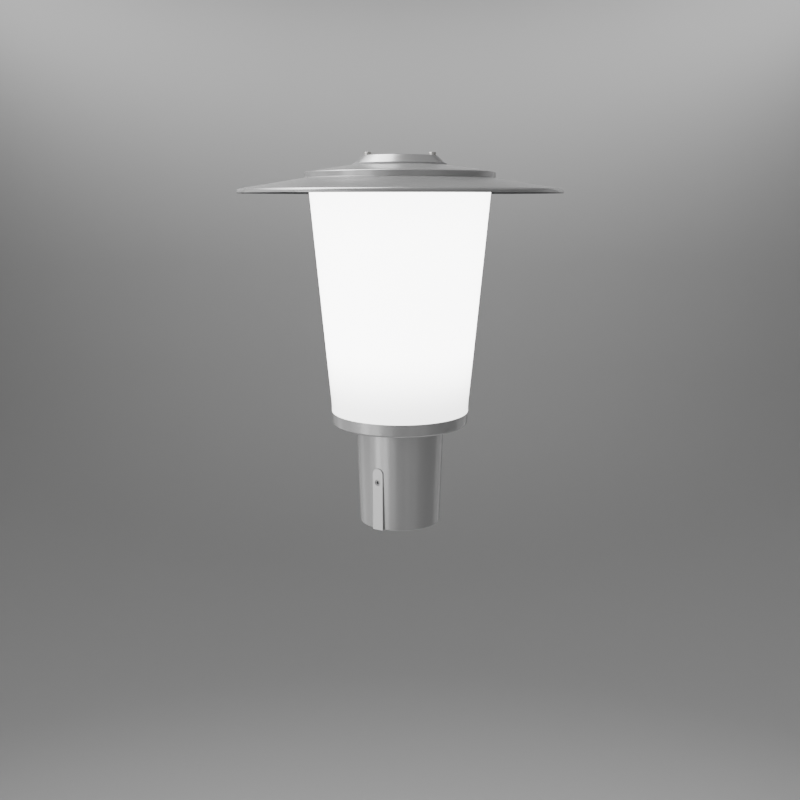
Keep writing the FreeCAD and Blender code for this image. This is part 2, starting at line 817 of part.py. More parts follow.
def diffuser():
    """Opal cone, open at both ends, with a short straight collar at its foot."""
    body = new_body("diffuser", "diffuser_seat")
    revolve(body, "opal_wall", [
        ("diffuser_collar_radius", "0"),
        ("diffuser_collar_radius", "diffuser_collar_height"),
        ("diffuser_top_radius", "diffuser_height"),
        ("diffuser_top_radius - diffuser_wall", "diffuser_height"),
        ("diffuser_inside", "diffuser_collar_height"),
        ("diffuser_inside", "0"),
    ])
    return body


def top_plate():
    """Disc that the canopy stands on, screwed to the column and to the hub."""
    disc = cylinder("top_disc", "top_plate_radius", "top_plate_thickness")

    def port_seat(name):
        return sunk_seat(name, "m4_radius + screw_hole_clearance", "top_plate_thickness")
    seats = on_ring("top_port_seat", port_seat, PORTS, "port_pitch", "top_plate_thickness")
    seats += on_ring("top_hub_seat", port_seat, HUB_SCREWS, "hub_screw_pitch", "0",
                     first_angle=90.0, flip=True)
    plate = cut("top_plate", disc, seats)
    place(plate, z="top_plate_level")
    return plate


def canopy_hub():
    """Turned spacer between the top plate and the canopy, tapped for the cap's screws."""
    body = new_body("canopy_hub", "top_plate_top")
    revolve(body, "hub_section", [
        ("hub_hole_radius", "0"),
        ("hub_radius", "0"),
        ("hub_radius", "hub_height"),
        ("hub_hole_radius", "hub_height"),
    ])
    drill(body, "cap_taps", "m4_radius", "hub_height", "hub_height", "cap_screw_pitch", 0.0, CAP_SCREWS)
    depth = "hub_screw_length - top_plate_thickness + screw_hole_clearance"
    drill(body, "hub_taps", "m4_radius", depth, depth, "hub_screw_pitch", 90.0, HUB_SCREWS)
    return body


def hub_screws():
    """Flat-headed M4 screws up through the top plate into the hub."""
    def make(name):
        return sunk_screw(name, "m4_radius", "hub_screw_length")
    return group("hub_screws", on_ring("hub_screw", make, HUB_SCREWS, "hub_screw_pitch",
                                       "top_plate_level", first_angle=90.0, flip=True))


def canopy():
    """Spun sheet: turned-down lip, shallow brim, upright step, shallow crown and flat seat."""
    body = new_body("canopy", "canopy_top - canopy_height")
    sketch = revolve(body, "spun_sheet", [
        ("canopy_radius", "0"),
        ("canopy_radius", "canopy_lip"),
        ("step_radius", "canopy_lip + brim_rise"),
        ("step_radius", "canopy_height - crown_rise"),
        ("crown_seat_radius", "canopy_height"),
        ("canopy_hole_radius", "canopy_height"),
        ("canopy_hole_radius", "canopy_height - canopy_sheet"),
        ("crown_seat_radius", "canopy_height - canopy_sheet"),
        ("step_radius - canopy_sheet",
         "canopy_height - crown_rise + (crown_slope - 1) * canopy_sheet"),
        ("step_radius - canopy_sheet", "canopy_lip + brim_rise + (brim_slope - 1) * canopy_sheet"),
        ("canopy_radius - canopy_sheet", "canopy_lip + (brim_slope - 1) * canopy_sheet"),
        ("canopy_radius - canopy_sheet", "0"),
    ])
    round_corner(body, sketch, 1, "canopy_edge")
    round_corner(body, sketch, 2, "step_edge")
    round_corner(body, sketch, 3, "step_edge")
    drill(body, "canopy_screw_holes", "m4_radius + screw_hole_clearance", "canopy_height",
          "canopy_sheet", "cap_screw_pitch", 0.0, CAP_SCREWS)
    return body


def cap_gasket():
    """Sealing disc between the crown and the cap."""
    body = new_body("cap_gasket", "canopy_top")
    revolve(body, "cap_gasket_section", [
        ("cap_recess_radius", "0"),
        ("cap_gasket_radius", "0"),
        ("cap_gasket_radius", "cap_gasket_height"),
        ("cap_recess_radius", "cap_gasket_height"),
    ])
    drill(body, "gasket_screw_holes", "m4_radius + screw_hole_clearance", "cap_gasket_height",
          "cap_gasket_height", "cap_screw_pitch", 0.0, CAP_SCREWS)
    return body


def cap():
    """Turned cap with a sloping flank, hollow under its middle."""
    body = new_body("cap", "cap_level")
    sketch = revolve(body, "cap_section", [
        ("cap_recess_radius", "0"),
        ("cap_base_radius", "0"),
        ("cap_base_radius", "cap_base_edge"),
        ("cap_top_radius", "cap_height"),
        ("0", "cap_height"),
        ("0", "cap_recess_depth"),
        ("cap_recess_radius", "cap_recess_depth"),
    ])
    round_corner(body, sketch, 3, "cap_top_edge")
    drill(body, "cap_screw_holes", "m4_radius + screw_hole_clearance", "cap_height", "cap_height",
          "cap_screw_pitch", 0.0, CAP_SCREWS)
    return body


def cap_screws():
    """The two M4 screws that hold the cap and the canopy on the hub."""
    def make(name):
        return head_screw(name, "m4_radius", "cap_screw_length", "m4_head_radius",
                          "m4_head_height", "m4_hex")
    return group("cap_screws", on_ring("cap_screw", make, CAP_SCREWS, "cap_screw_pitch",
                                       "cap_level + cap_height"))


def build():
    """Every sub-part, from the pole up."""
    return [
        pole_socket(),
        clamp_screws(),
        base_ring(),
        socket_screws(),
        flat_ring("lower_gasket", "groove_low", "groove_high", "lower_gasket_depth",
                  "diffuser_seat - lower_gasket_depth"),
        flat_ring("gland_washer", "gland_thread_radius + thread_clearance", "gland_hex / 2",
                  "gland_washer_height", "gland_level + gland_hex_height"),
        gland_body(),
        gland_nut(),
        gland_locknut(),
        flat_ring("gland_seal", "gland_bore_radius - gland_seal_wall",
                  "gland_bore_radius - thread_clearance", "gland_neck_length",
                  "gland_level - gland_neck_length"),
        foot_plate(),
        plate_screws(),
        earth_screw(),
        led_column(),
        column_screws("lower_column_screws", "foot_plate_level", flip=True),
        column_screws("upper_column_screws", "top_plate_top", flip=False),
        led_boards(),
        leds(),
        rounded_block("led_driver", "driver_width", "driver_depth", "driver_length", "driver_edge",
                      "bracket_face - driver_depth", "driver_level"),
        driver_bracket(),
        bracket_screws(),
        terminal_block(),
        rounded_block("surge_protector", "surge_width", "surge_depth", "surge_height", "surge_edge",
                      "-block_reach - surge_depth", "foot_plate_top"),
        diffuser(),
        flat_ring("upper_gasket", "diffuser_top_radius - diffuser_wall - upper_gasket_overhang",
                  "diffuser_top_radius", "upper_gasket_height", "diffuser_top"),
        top_plate(),
        canopy_hub(),
        hub_screws(),
        canopy(),
        cap_gasket(),
        cap(),
        cap_screws(),
    ]


def check(parts):
    """Stop if any object has failed, or a sub-part has no valid shape."""
    for thing in doc.Objects:
        for word in ("Invalid", "Error"):
            if word in thing.State:
                raise RuntimeError(f"{thing.Label} is {word.lower()}")
    for part in parts:
        if part.Shape.isNull() or not part.Shape.isValid() or not part.Shape.Solids:
            raise RuntimeError(f"{part.Label} has no valid solid")


def write(parts):
    os.makedirs("parts", exist_ok=True)
    for part in parts:
        part.Shape.exportStep(f"parts/{part.Label}.step")
        box_ = part.Shape.BoundBox
        print(f"{part.Label:22s} {len(part.Shape.Solids):3d} solids {part.Shape.Volume / 1000:9.2f} cm3 "
              f"z {box_.ZMin:7.2f} to {box_.ZMax:7.2f}")


fill_sheet()
sub_parts = build()
doc.recompute()
check(sub_parts)
write(sub_parts)
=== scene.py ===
import json
import math

import bmesh
import bpy
from bpy.props import FloatProperty, FloatVectorProperty, PointerProperty
from bpy.types import Operator, Panel, PropertyGroup
from mathutils import Matrix, Vector


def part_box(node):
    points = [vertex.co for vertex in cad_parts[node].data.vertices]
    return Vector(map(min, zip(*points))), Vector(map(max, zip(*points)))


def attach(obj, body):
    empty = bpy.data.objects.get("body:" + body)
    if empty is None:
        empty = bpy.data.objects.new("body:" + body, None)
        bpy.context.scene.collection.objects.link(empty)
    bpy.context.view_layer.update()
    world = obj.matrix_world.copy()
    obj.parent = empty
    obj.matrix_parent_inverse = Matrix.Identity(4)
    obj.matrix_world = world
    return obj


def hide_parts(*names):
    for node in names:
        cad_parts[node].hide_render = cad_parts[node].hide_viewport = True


bl_info = {
    "name": "LED street light head",
    "version": (1, 0, 0),
    "blender": (4, 5, 0),
    "location": "View3D > Sidebar > Street light",
    "description": "Castings, spun canopy, glowing opal cone and studio of a post-top street light head",
    "category": "Object",
}

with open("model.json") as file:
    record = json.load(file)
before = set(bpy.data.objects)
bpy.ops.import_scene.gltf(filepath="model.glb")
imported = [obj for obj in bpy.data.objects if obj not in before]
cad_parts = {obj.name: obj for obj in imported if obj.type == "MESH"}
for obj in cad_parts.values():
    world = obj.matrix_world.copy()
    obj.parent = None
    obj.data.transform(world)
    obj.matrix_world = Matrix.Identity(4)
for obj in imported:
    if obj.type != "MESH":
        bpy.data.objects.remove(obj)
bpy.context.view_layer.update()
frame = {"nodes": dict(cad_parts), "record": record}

MM = 0.001
TINY = 1e-6
BODY = "root"

# Steps round a large and a small circle, and across a rounded edge and the room's corner
ROUND_STEPS = 192
SMALL_STEPS = 48
EDGE_SEGMENTS = 4
CORNER_SEGMENTS = 12

# Edges that stay sharp in smooth shading, the fold between floor and wall, and how far a face of the
# canopy leans down or towards the axis before it takes the painted shade (dark coat) of the underside
SHARP_ANGLE = math.radians(32)
STEEP_FOLD = math.radians(60)
UNDERSIDE = -0.5

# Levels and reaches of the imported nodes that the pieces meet
SOCKET_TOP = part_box("pole_socket")[1].z
RING_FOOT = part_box("base_ring")[0].z
DIFFUSER_LOW, DIFFUSER_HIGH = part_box("diffuser")
CANOPY_LOW, CANOPY_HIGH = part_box("canopy")
CAP_LOW, CAP_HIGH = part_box("cap")
SHANK_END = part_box("cap_screws")[0].z

# Soft lights round the lamp. Each kind has its width, height and distance in metres, its spread and
# elevation in degrees, and its watts by azimuth, where 0 is the camera's side and 90 the right of its view.
SOFT_LIGHTS = {
    "tall": (0.36, 1.4, 1.2, 180, -2,
             {-180: 0.14, -140: 0.5, -120: 1.38, -100: 1.08, -80: 1.55, -60: 4.4, -40: 3.3, -20: 1.0,
              0: 0.32, 20: 0.44, 40: 0.4, 60: 0.18, 80: 0.12, 100: 0.14, 120: 0.54, 140: 0.58}),
    "raised": (0.36, 0.6, 1.25, 180, 18, {-100: 0.36}),
    "high": (0.8, 0.8, 1.5, 60, 48, {-150: 0.85, -120: 0.9, -90: 1.3}),
    "steep": (0.8, 0.8, 1.5, 60, 66, {-123: 2.6}),
}


# Property helpers

def length(name, description, default):
    return FloatProperty(name=name, description=description, default=default, min=0.0,
                         unit="LENGTH", precision=5)


def angle(name, description, degrees):
    return FloatProperty(name=name, description=description, default=math.radians(degrees),
                         subtype="ANGLE")


def amount(name, description, default):
    return FloatProperty(name=name, description=description, default=default, min=0.0)


def colour(name, description, default):
    return FloatVectorProperty(name=name, description=description, default=default, size=3,
                               min=0.0, max=1.0, subtype="COLOR")


# Sizes and colours

class SocketSizes(PropertyGroup):
    """Cast socket with its two clamp pads and their set screws."""
    height: length("Height", "From the mouth to the ring", SOCKET_TOP)
    mouth_radius: length("Mouth radius", "Outside of the cone at its mouth", 39.85 * MM)
    top_radius: length("Top radius", "Outside of the cone under the ring", 43.3 * MM)
    mouth_edge: length("Mouth edge", "Rounding of the mouth's outer edge", 0.6 * MM)
    bore_radius: length("Bore radius", "Inside of the socket", 38.3 * MM)
    bore_depth: length("Bore depth", "From the mouth to the inner flange", 93.6 * MM)
    lead_in: length("Lead-in", "Bevel at the bore's mouth", 0.5 * MM)
    cable_radius: length("Cable hole radius", "Hole through the inner flange", 22.0 * MM)
    pad_width: length("Pad width", "Width of each clamp pad", 11.3 * MM)
    pad_face: length("Pad face", "From the axis to each pad's flat face", 42.8 * MM)
    pad_root: length("Pad root", "From the axis to the back of each pad, inside the wall", 39.2 * MM)
    pad_foot: length("Pad foot", "Height of each pad's foot above the mouth", 0.05 * MM)
    pad_arch: length("Pad arch", "Height of the centre of each pad's round top", 56.4 * MM)
    pad_edge: length("Pad edge", "Rounding of the edges round each pad's face", 0.35 * MM)
    pad_turn: angle("Pad turn", "How far left of the front one pad faces", 30.3)
    screw_height: length("Screw height", "Height of the clamp screws", 48.0 * MM)
    hole_radius: length("Hole radius", "Radius of each clamp screw's hole", 3.0 * MM)
    screw_radius: length("Screw radius", "Radius of each clamp screw", 2.95 * MM)
    screw_recess: length("Screw recess", "From each pad's face down to its screw", 0.5 * MM)
    screw_edge: length("Screw edge", "Rounding of each clamp screw's rim", 0.3 * MM)
    key: length("Key", "Hexagon socket across its flats", 3.0 * MM)
    key_depth: length("Key depth", "Depth of the hexagon socket", 1.8 * MM)


class RingSizes(PropertyGroup):
    """Gallery ring under the diffuser."""
    foot: length("Foot", "Height of the ring's underside", RING_FOOT)
    height: length("Height", "Height of the outer band", 12.4 * MM)
    low_radius: length("Low radius", "Outside at the underside", 66.2 * MM)
    top_radius: length("Top radius", "Outside at the diffuser", 66.9 * MM)
    low_edge: length("Low edge", "Rounding of the lower edge", 2.0 * MM)
    top_edge: length("Top edge", "Rounding of the upper edge", 0.2 * MM)
    floor: length("Floor", "Thickness of the floor", 3.5 * MM)
    groove_low: length("Groove inside", "Inner radius of the gasket's groove", 64.7 * MM)
    groove_high: length("Groove outside", "Outer radius of the gasket's groove", 66.3 * MM)
    groove_depth: length("Groove depth", "Depth of the gasket's groove", 1.4 * MM)
    spigot_radius: length("Spigot radius", "Outside of the collar inside the diffuser", 63.5 * MM)
    well_radius: length("Well radius", "Inside of the same collar", 60.0 * MM)
    spigot_height: length("Spigot height", "Collar above the band", 6.0 * MM)
    turret_radius: length("Turret radius", "Outside of the gland's turret", 19.5 * MM)
    turret_wall: length("Turret wall", "Wall and ceiling of the turret", 3.0 * MM)
    turret_height: length("Turret height", "Turret above the underside", 20.4 * MM)
    gland_hole: length("Gland hole", "Radius of the gland's hole", 10.15 * MM)
    boss_radius: length("Boss radius", "Radius of each boss under the foot plate", 4.2 * MM)
    boss_height: length("Boss height", "Height of the bosses on the floor", 4.0 * MM)
    boss_pitch: length("Boss pitch", "From the axis to each boss", 46.0 * MM)


class DiffuserSizes(PropertyGroup):
    """Opal cone and how its glow fades."""
    foot: length("Foot", "Height of the lower end", DIFFUSER_LOW.z)
    top: length("Top", "Height of the upper end", DIFFUSER_HIGH.z)
    collar_radius: length("Collar radius", "Outside of the straight collar", 67.0 * MM)
    collar_height: length("Collar height", "Height of the straight collar", 7.0 * MM)
    top_radius: length("Top radius", "Outside at the upper end", DIFFUSER_HIGH.x)
    wall: length("Wall", "Thickness of the wall", 3.0 * MM)
    edge: length("Edge", "Rounding of both ends", 0.4 * MM)
    shoulder: length("Shoulder", "Blend between the collar and the cone", 3.0 * MM)
    low_fade: length("Low fade", "Height over which the glow grows from the lower end", 68.0 * MM)
    high_fade: length("High fade", "Height over which the glow sinks to the upper end", 60.0 * MM)


class CanopySizes(PropertyGroup):
    """Spun canopy."""
    foot: length("Foot", "Height of the lip's lower edge", CANOPY_LOW.z)
    top: length("Top", "Height of the flat seat under the cap", CANOPY_HIGH.z)
    radius: length("Radius", "Outside of the lip", CANOPY_HIGH.x)
    lip: length("Lip", "Height of the turned-down lip", 3.6 * MM)
    lip_edge: length("Lip edge", "Rounding of the lip's lower edge", 0.5 * MM)
    brim_edge: length("Brim edge", "Bend between the lip and the brim", 2.8 * MM)
    brim_rise: length("Brim rise", "Rise of the brim", 10.5 * MM)
    step_radius: length("Step radius", "Radius of the upright step", 89.7 * MM)
    step_height: length("Step height", "Height of the upright step", 5.3 * MM)
    step_edge: length("Step edge", "Bend at the top of the step", 1.2 * MM)
    step_foot_edge: length("Step foot edge", "Bend at the foot of the step", 0.5 * MM)
    seat_radius: length("Seat radius", "Radius of the flat seat", 44.4 * MM)
    hole_radius: length("Hole radius", "Radius of the hole under the cap", 8.0 * MM)
    sheet: length("Sheet", "Thickness of the sheet", 2.0 * MM)


class CapSizes(PropertyGroup):
    """Cap and its two screws."""
    foot: length("Foot", "Height of the cap's underside", CAP_LOW.z)
    top: length("Top", "Height of the cap's flat top", CAP_HIGH.z)
    base_radius: length("Base radius", "Outside at the underside", CAP_HIGH.x + 0.5 * MM)
    base_edge: length("Base edge", "Height of the upright base edge", 0.35 * MM)
    top_radius: length("Top radius", "Outside at the flat top", 35.1 * MM)
    base_rounding: length("Base rounding", "Rounding of the base edge", 0.12 * MM)
    edge: length("Edge", "Rounding of the flat top's edge", 0.35 * MM)
    recess_radius: length("Recess radius", "Hollow under the middle", 26.0 * MM)
    recess_depth: length("Recess depth", "Depth of the hollow", 4.5 * MM)
    screw_pitch: length("Screw pitch", "From the axis to each screw", 30.3 * MM)
    head_radius: length("Head radius", "Radius of each screw head", 3.5 * MM)
    head_height: length("Head height", "Height of each screw head", 3.2 * MM)
    head_edge: length("Head edge", "Rounding of each head's top", 0.45 * MM)
    shank_radius: length("Shank radius", "Radius of each screw's shank", 1.95 * MM)
    shank_end: length("Shank end", "Height of the shanks' lower ends", SHANK_END)
    key: length("Key", "Hexagon socket across its flats", 3.0 * MM)
    key_depth: length("Key depth", "Depth of the hexagon socket", 1.8 * MM)


class FinishColours(PropertyGroup):
    """Colours and glow of the finishes."""
    paint: colour("Paint", "Silver-grey powder coat", (0.427, 0.427, 0.427))
    # Painted shade: this dark grey stands in for the shade under the canopy, whose real paint is the same
    # silver as on top
    shade: colour("Shade", "Dark grey paint under the canopy", (0.016, 0.0165, 0.017))
    opal: colour("Opal", "White acrylic", (0.82, 0.82, 0.81))
    glow: colour("Glow", "Light of the lit diffuser", (1.0, 1.0, 0.99))
    glow_strength: amount("Glow strength", "Strength of the lit diffuser", 8.8)
    low_glow: amount("Low glow", "Share of the glow at the diffuser's lower end", 0.38)
    high_glow: amount("High glow", "Share of the glow at the diffuser's upper end", 0.9)
    steel: colour("Steel", "Stainless screws", (0.60, 0.59, 0.57))
    zinc: colour("Zinc", "Plated sheet", (0.52, 0.54, 0.57))
    aluminium: colour("Aluminium", "Extruded and turned metal", (0.74, 0.74, 0.75))
    black_steel: colour("Black steel", "Set screws", (0.30, 0.30, 0.305))
    rubber: colour("Rubber", "Seals", (0.02, 0.02, 0.021))
    grey_rubber: colour("Grey rubber", "Seal under the cap", (0.42, 0.42, 0.43))
    nylon: colour("Nylon", "Cable gland", (0.30, 0.31, 0.32))
    board: colour("Board", "White solder mask", (0.84, 0.85, 0.83))
    phosphor: colour("Phosphor", "LED packages", (0.93, 0.78, 0.30))
    driver: colour("Driver", "Driver's case", (0.78, 0.78, 0.76))
    terminal: colour("Terminal", "Terminal block", (0.16, 0.17, 0.18))
    surge: colour("Surge", "Surge protector", (0.04, 0.10, 0.27))
    brass: colour("Brass", "Earth screw", (0.76, 0.56, 0.24))


class StageSizes(PropertyGroup):
    """Camera, room and lights."""
    sensor: FloatProperty(name="Sensor", description="Width of the sensor", default=36.0, unit="CAMERA")
    lens: FloatProperty(name="Lens", description="Focal length", default=42.49, unit="CAMERA")
    camera_back: length("Camera back", "From the lamp's axis to the camera", 911.8 * MM)
    camera_height: length("Camera height", "Height of the camera", 315.3 * MM)
    camera_dip: angle("Camera dip", "How far the camera looks down", 11.98)
    room_radius: length("Room radius", "Radius of the round pale room", 4.0)
    room_height: length("Room height", "Top of the wall above the socket's mouth", 3.0)
    room_floor: length("Room floor", "Depth of the floor below the socket's mouth", 1.5)
    room_corner: length("Room corner", "Rounding between the floor and the wall", 1.5)
    room: colour("Room", "Floor and wall", (0.5, 0.5, 0.5))
    sky: colour("Sky", "Soft light from all round", (0.76, 0.76, 0.76))
    sky_strength: amount("Sky strength", "Strength of the soft light from all round", 0.47)
    light_aim: length("Light aim", "Height on the axis that the soft lights face", 200.0 * MM)
    wash_power: amount("Wash power", "Watts of the strip that lights the wall behind the lamp", 13.6)
    wash_length: length("Wash length", "Length of the strip", 4.0)
    wash_width: length("Wash width", "Width of the strip", 0.3)
    wash_spread: angle("Wash spread", "Spread of the strip's light", 90)
    wash_gap: length("Wash gap", "From the strip to the wall", 1.1)
    wash_height: length("Wash height", "Height of the strip", 1.6)
    wash_aim: length("Wash aim", "Height on the wall that the strip faces", 0.7)
    floor_power: amount("Floor power", "Watts of the soft square that lights the floor", 34.0)
    floor_side: length("Floor side", "Side of the soft square", 3.2)
    floor_gap: length("Floor gap", "From the soft square down to the floor", 1.0)


# Shaders

class Signal:
    """A shader socket that can be used in expressions."""

    def __init__(self, finish, socket):
        self.finish = finish
        self.socket = socket

    def math(self, operation, *values):
        """Output of a new Math node that works on those values."""
        return self.finish.node("ShaderNodeMath", {"operation": operation}, dict(enumerate(values)))

    def __add__(self, other):
        return self.math("ADD", self, other)

    def __mul__(self, other):
        return self.math("MULTIPLY", self, other)

    __radd__ = __add__
    __rmul__ = __mul__


class Finish:
    """A material whose nodes come from one method and from expressions."""

    def __init__(self, name):
        self.material = bpy.data.materials.new(name)
        self.material.use_nodes = True
        self.tree = self.material.node_tree
        self.tree.nodes.clear()

    def node(self, kind, settings=None, inputs=None, output=0):
        """Add a node, set it up, connect or fill its inputs, and return one of its outputs."""
        made = self.tree.nodes.new(kind)
        for key, value in (settings or {}).items():
            setattr(made, key, value)
        for key, value in (inputs or {}).items():
            if isinstance(value, Signal):
                self.tree.links.new(value.socket, made.inputs[key])
            else:
                made.inputs[key].default_value = value
        return Signal(self, made.outputs[output]) if made.outputs else None

    def place(self):
        """Where a point lies on the lamp, in metres."""
        return self.node("ShaderNodeTexCoord", output="Object")

    def part_of_place(self, axis):
        """One coordinate of a point on the lamp, in metres."""
        return self.node("ShaderNodeSeparateXYZ", inputs={"Vector": self.place()}, output=axis)

    def noise(self, scale, detail, stretch=(1.0, 1.0, 1.0)):
        """Soft noise from 0 to 1 with that many waves to the metre, squeezed along the axes."""
        squeezed = self.node("ShaderNodeMapping", inputs={"Vector": self.place(), "Scale": stretch})
        return self.node("ShaderNodeTexNoise", inputs={"Vector": squeezed, "Scale": scale, "Detail": detail})

    def ramp(self, value, start, end, low, high):
        """A value that goes smoothly from low to high while another goes from start to end."""
        return self.node("ShaderNodeMapRange", {"interpolation_type": "SMOOTHSTEP"},
                         {"Value": value, "From Min": start, "From Max": end, "To Min": low, "To Max": high})

    def tinted(self, base, factor):
        """A colour multiplied by a value that changes over the surface."""
        grey = self.node("ShaderNodeCombineColor", inputs={"Red": factor, "Green": factor, "Blue": factor})
        return self.node("ShaderNodeMix", {"data_type": "RGBA", "blend_type": "MULTIPLY"},
                         {"Factor": 1.0, "A": (*base, 1.0), "B": grey}, output="Result")

    def bump(self, height, strength, distance):
        """Relief of a height from 0 to 1, over that distance in metres."""
        return self.node("ShaderNodeBump",
                         inputs={"Height": height, "Strength": strength, "Distance": distance})

    def close(self, inputs):
        """Close the material with one Principled shader and return it."""
        shader = self.node("ShaderNodeBsdfPrincipled", inputs=inputs)
        self.node("ShaderNodeOutputMaterial", inputs={"Surface": shader})
        return self.material


def powder_coat(name, base):
    """Powder coat: fine metal flakes under a satin, slightly dimpled skin."""
    finish = Finish(name)
    clouds = finish.noise(18.0, 3.0)
    flakes = finish.noise(2600.0, 1.0)
    dimples = finish.noise(950.0, 2.0)
    return finish.close({
        "Base Color": finish.tinted(base, 0.95 + clouds * 0.06 + flakes * 0.04),
        "Metallic": 0.55,
        "Roughness": 0.22 + clouds * 0.06,
        "Normal": finish.bump(dimples, 0.05, 0.05 * MM),
        "Coat Weight": 0.15,
        "Coat Roughness": 0.25,
    })


def painted_underside_shade(colours):
    """Painted shade: matt dark grey coat under the canopy, standing in for the shade that falls under it;
    the canopy itself is silver on both sides.
    """
    finish = Finish("painted_shade_under_canopy")
    grain = finish.noise(1100.0, 2.0)
    return finish.close({
        "Base Color": finish.tinted(colours.shade, 0.9 + grain * 0.2),
        "Roughness": 0.72 + grain * 0.08,
        "Specular IOR Level": 0.1,
        "Normal": finish.bump(grain, 0.1, 0.04 * MM),
    })


def opal_acrylic(colours, sizes):
    """Lit opal acrylic: its glow fades below the LED boards and a little at the top."""
    finish = Finish("opal_acrylic")
    height = finish.part_of_place("Z")
    low = finish.ramp(height, sizes.foot, sizes.foot + sizes.low_fade, colours.low_glow, 1.0)
    high = finish.ramp(height, sizes.top - sizes.high_fade, sizes.top, 1.0, colours.high_glow)
    clouds = finish.noise(9.0, 1.0)
    waves = finish.noise(400.0, 1.0)
    return finish.close({
        "Base Color": (*colours.opal, 1.0),
        "Roughness": 0.24 + clouds * 0.05,
        "Normal": finish.bump(waves, 0.02, 0.05 * MM),
        "Emission Color": finish.tinted(colours.glow, low * high * (0.99 + clouds * 0.02)),
        "Emission Strength": colours.glow_strength,
        "Coat Weight": 0.2,
        "Coat Roughness": 0.08,
    })


def turned_metal(name, base, roughness):
    """Bare metal with fine turned or rolled marks."""
    finish = Finish(name)
    marks = finish.noise(1500.0, 2.0, (1.0, 1.0, 0.06))
    return finish.close({
        "Base Color": finish.tinted(base, 0.94 + marks * 0.12),
        "Metallic": 1.0,
        "Roughness": roughness + marks * 0.12,
        "Normal": finish.bump(marks, 0.08, 0.02 * MM),
    })


def drawn_metal(name, base, roughness):
    """Extruded or rolled metal with long marks along Z."""
    finish = Finish(name)
    marks = finish.noise(900.0, 3.0, (1.0, 1.0, 0.01))
    return finish.close({
        "Base Color": finish.tinted(base, 0.92 + marks * 0.14),
        "Metallic": 1.0,
        "Roughness": roughness + marks * 0.15,
        "Normal": finish.bump(marks, 0.06, 0.02 * MM),
    })


def moulded(name, base, roughness):
    """Moulded plastic or rubber with a fine grain."""
    finish = Finish(name)
    grain = finish.noise(1200.0, 2.0)
    return finish.close({
        "Base Color": finish.tinted(base, 0.95 + grain * 0.1),
        "Roughness": roughness + grain * 0.08,
        "Normal": finish.bump(grain, 0.12, 0.04 * MM),
    })


def led_package(name, base):
    """Yellow phosphor under clear silicone."""
    finish = Finish(name)
    grain = finish.noise(2200.0, 2.0)
    return finish.close({
        "Base Color": finish.tinted(base, 0.9 + grain * 0.2),
        "Roughness": 0.2 + grain * 0.1,
        "Coat Weight": 0.6,
        "Coat Roughness": 0.05,
    })


# Meshes

def edges_between(verts):
    """The edges that join those vertices to one another."""
    chosen = set(verts)
    found = {edge for vertex in chosen for edge in vertex.link_edges if chosen.issuperset(edge.verts)}
    return list(found)


def ring_of(bm, radius, steps, height):
    """Round or, with few steps, many-sided loop of edges about Z."""
    made = bmesh.ops.create_circle(bm, segments=steps, radius=radius,
                                   matrix=Matrix.Translation((0, 0, height)))
    return edges_between(made["verts"])


def pulled(bm, edges, move):
    """Extrude a loop of edges, move the new vertices by a function, and return the new loop."""
    made = bmesh.ops.extrude_edge_only(bm, edges=edges)["geom"]
    verts = [item for item in made if isinstance(item, bmesh.types.BMVert)]
    for vertex in verts:
        vertex.co = move(vertex.co)
    return edges_between(verts)


def to_ring(radius, height):
    """Function that sends a point to a radius and a height."""
    def move(point):
        scale = radius / math.hypot(point.x, point.y)
        return Vector((point.x * scale, point.y * scale, height))
    return move


def turned(profile):
    """Turn a closed profile about Z. A corner is (radius, height) or (radius, height, rounding)."""
    bm = bmesh.new()
    corners = [bm.verts.new((corner[0], 0.0, corner[1])) for corner in profile]
    bm.faces.new(corners)
    for vertex, corner in zip(corners, profile):
        if len(corner) > 2:
            bmesh.ops.bevel(bm, geom=[vertex], offset=corner[2], offset_type="OFFSET",
                            segments=EDGE_SEGMENTS, profile=0.5, affect="VERTICES", material=-1)
    bmesh.ops.delete(bm, geom=bm.faces[:], context="FACES_ONLY")
    on_axis = [edge for edge in bm.edges if all(abs(vertex.co.x) < TINY for vertex in edge.verts)]
    bmesh.ops.delete(bm, geom=on_axis, context="EDGES")
    bmesh.ops.spin(bm, geom=bm.verts[:] + bm.edges[:], cent=(0, 0, 0), axis=(0, 0, 1),
                   angle=2 * math.pi, steps=ROUND_STEPS, use_merge=True)
    bmesh.ops.remove_doubles(bm, verts=bm.verts[:], dist=TINY)
    bmesh.ops.recalc_face_normals(bm, faces=bm.faces[:])
    return bm


def keyed_rod(head_radius, head_height, edge, shank_radius, shank_end, key, key_depth):
    """Screw on Z whose head stands on z = 0, with a rounded top and a hexagon socket."""
    bm = bmesh.new()
    rim = ring_of(bm, head_radius - edge, SMALL_STEPS, head_height)
    hexagon = ring_of(bm, key / 2 / math.cos(math.pi / 6), 6, head_height)
    bmesh.ops.bridge_loops(bm, edges=rim + hexagon)
    key_floor = pulled(bm, hexagon, lambda point: point - Vector((0, 0, key_depth)))
    bmesh.ops.contextual_create(bm, geom=key_floor)
    for index in range(1, EDGE_SEGMENTS + 1):
        turn = math.pi / 2 * index / EDGE_SEGMENTS
        rim = pulled(bm, rim, to_ring(head_radius - edge + edge * math.sin(turn),
                                      head_height - edge + edge * math.cos(turn)))
    if head_height > 0:
        rim = pulled(bm, rim, to_ring(head_radius, 0.0))
        rim = pulled(bm, rim, to_ring(shank_radius, 0.0))
    rim = pulled(bm, rim, to_ring(shank_radius, shank_end))
    bmesh.ops.contextual_create(bm, geom=rim)
    bmesh.ops.recalc_face_normals(bm, faces=bm.faces[:])
    return bm


